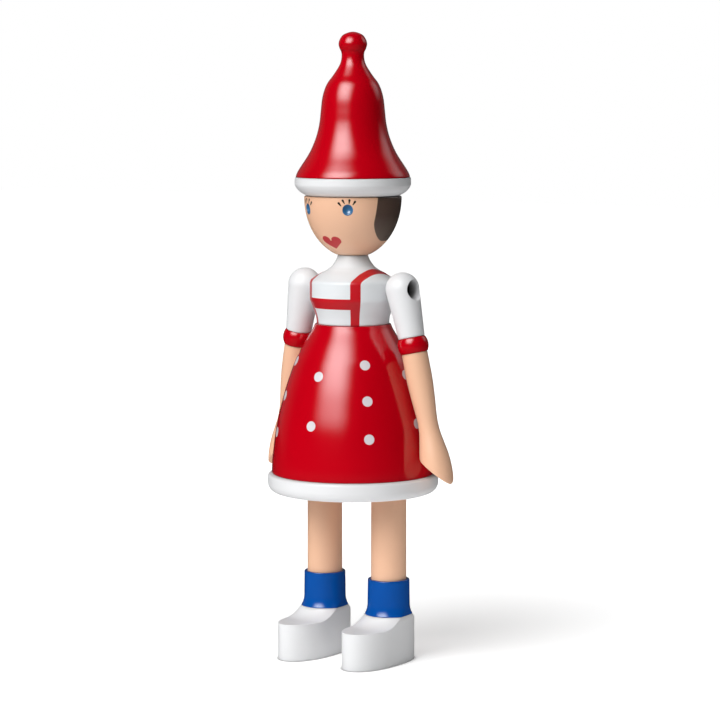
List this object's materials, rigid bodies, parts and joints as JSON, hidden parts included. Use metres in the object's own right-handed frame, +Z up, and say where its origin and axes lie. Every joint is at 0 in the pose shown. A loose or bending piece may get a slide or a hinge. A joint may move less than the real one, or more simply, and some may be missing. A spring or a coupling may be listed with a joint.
{
  "type": "jointed wooden doll",
  "caption": "Painted turned-wood doll with bell hat, bell skirt and pegged head; arms turn at the shoulders and legs swing at the hips.",
  "frame": {"origin": "on the ground under the doll's centre line, midway between the soles from side to side", "axes": "+Z up, -Y the way the doll faces, +X towards the doll's left hand"},
  "size_m": [0.0784, 0.0582, 0.2131],
  "materials": {
    "red_paint": "semi-gloss red paint on turned wood",
    "white_paint": "semi-gloss white paint on turned wood",
    "skin_paint": "satin skin-coloured paint on wood",
    "blue_paint": "semi-gloss blue paint on turned wood",
    "bare_beech": "bare beech",
    "steel": "plain steel",
    "elastic": "black covered elastic cord"
  },
  "bodies": {
    "trunk": {"torso": "white_paint", "waist_dowel": "bare_beech", "neck_peg": "bare_beech", "skirt": "red_paint", "skirt_hem": "white_paint", "hip_block": "bare_beech", "hip_pin": "steel", "shoulder_cord": "elastic"},
    "head": {"head": "skin_paint", "hat_dowel": "bare_beech", "hat_brim": "white_paint", "hat": "red_paint"},
    "arm_left": {"sleeve_left": "white_paint", "cuff_left": "red_paint", "forearm_left": "skin_paint", "arm_dowel_left": "bare_beech", "shoulder_washer_left": "steel"},
    "arm_right": {"sleeve_right": "white_paint", "cuff_right": "red_paint", "forearm_right": "skin_paint", "arm_dowel_right": "bare_beech", "shoulder_washer_right": "steel"},
    "leg_left": {"leg_left": "skin_paint", "sock_left": "blue_paint", "shoe_left": "white_paint"},
    "leg_right": {"leg_right": "skin_paint", "sock_right": "blue_paint", "shoe_right": "white_paint"}
  },
  "joints": [
    {"name": "head_turn", "type": "hinge", "parent": "trunk", "child": "head", "pos_m": [0, 0, 0.138], "axis": [0, 0, 1], "continuous": true},
    {"name": "left_shoulder", "type": "hinge", "parent": "trunk", "child": "arm_left", "pos_m": [0, 0, 0.1273], "axis": [1, 0, 0], "continuous": true},
    {"name": "right_shoulder", "type": "hinge", "parent": "trunk", "child": "arm_right", "pos_m": [0, 0, 0.1273], "axis": [1, 0, 0], "continuous": true},
    {"name": "left_hip", "type": "hinge", "parent": "trunk", "child": "leg_left", "pos_m": [0, 0.002, 0.085], "axis": [1, 0, 0], "range_deg": [-25, 18]},
    {"name": "right_hip", "type": "hinge", "parent": "trunk", "child": "leg_right", "pos_m": [0, 0.002, 0.085], "axis": [1, 0, 0], "range_deg": [-25, 18]}
  ]
}
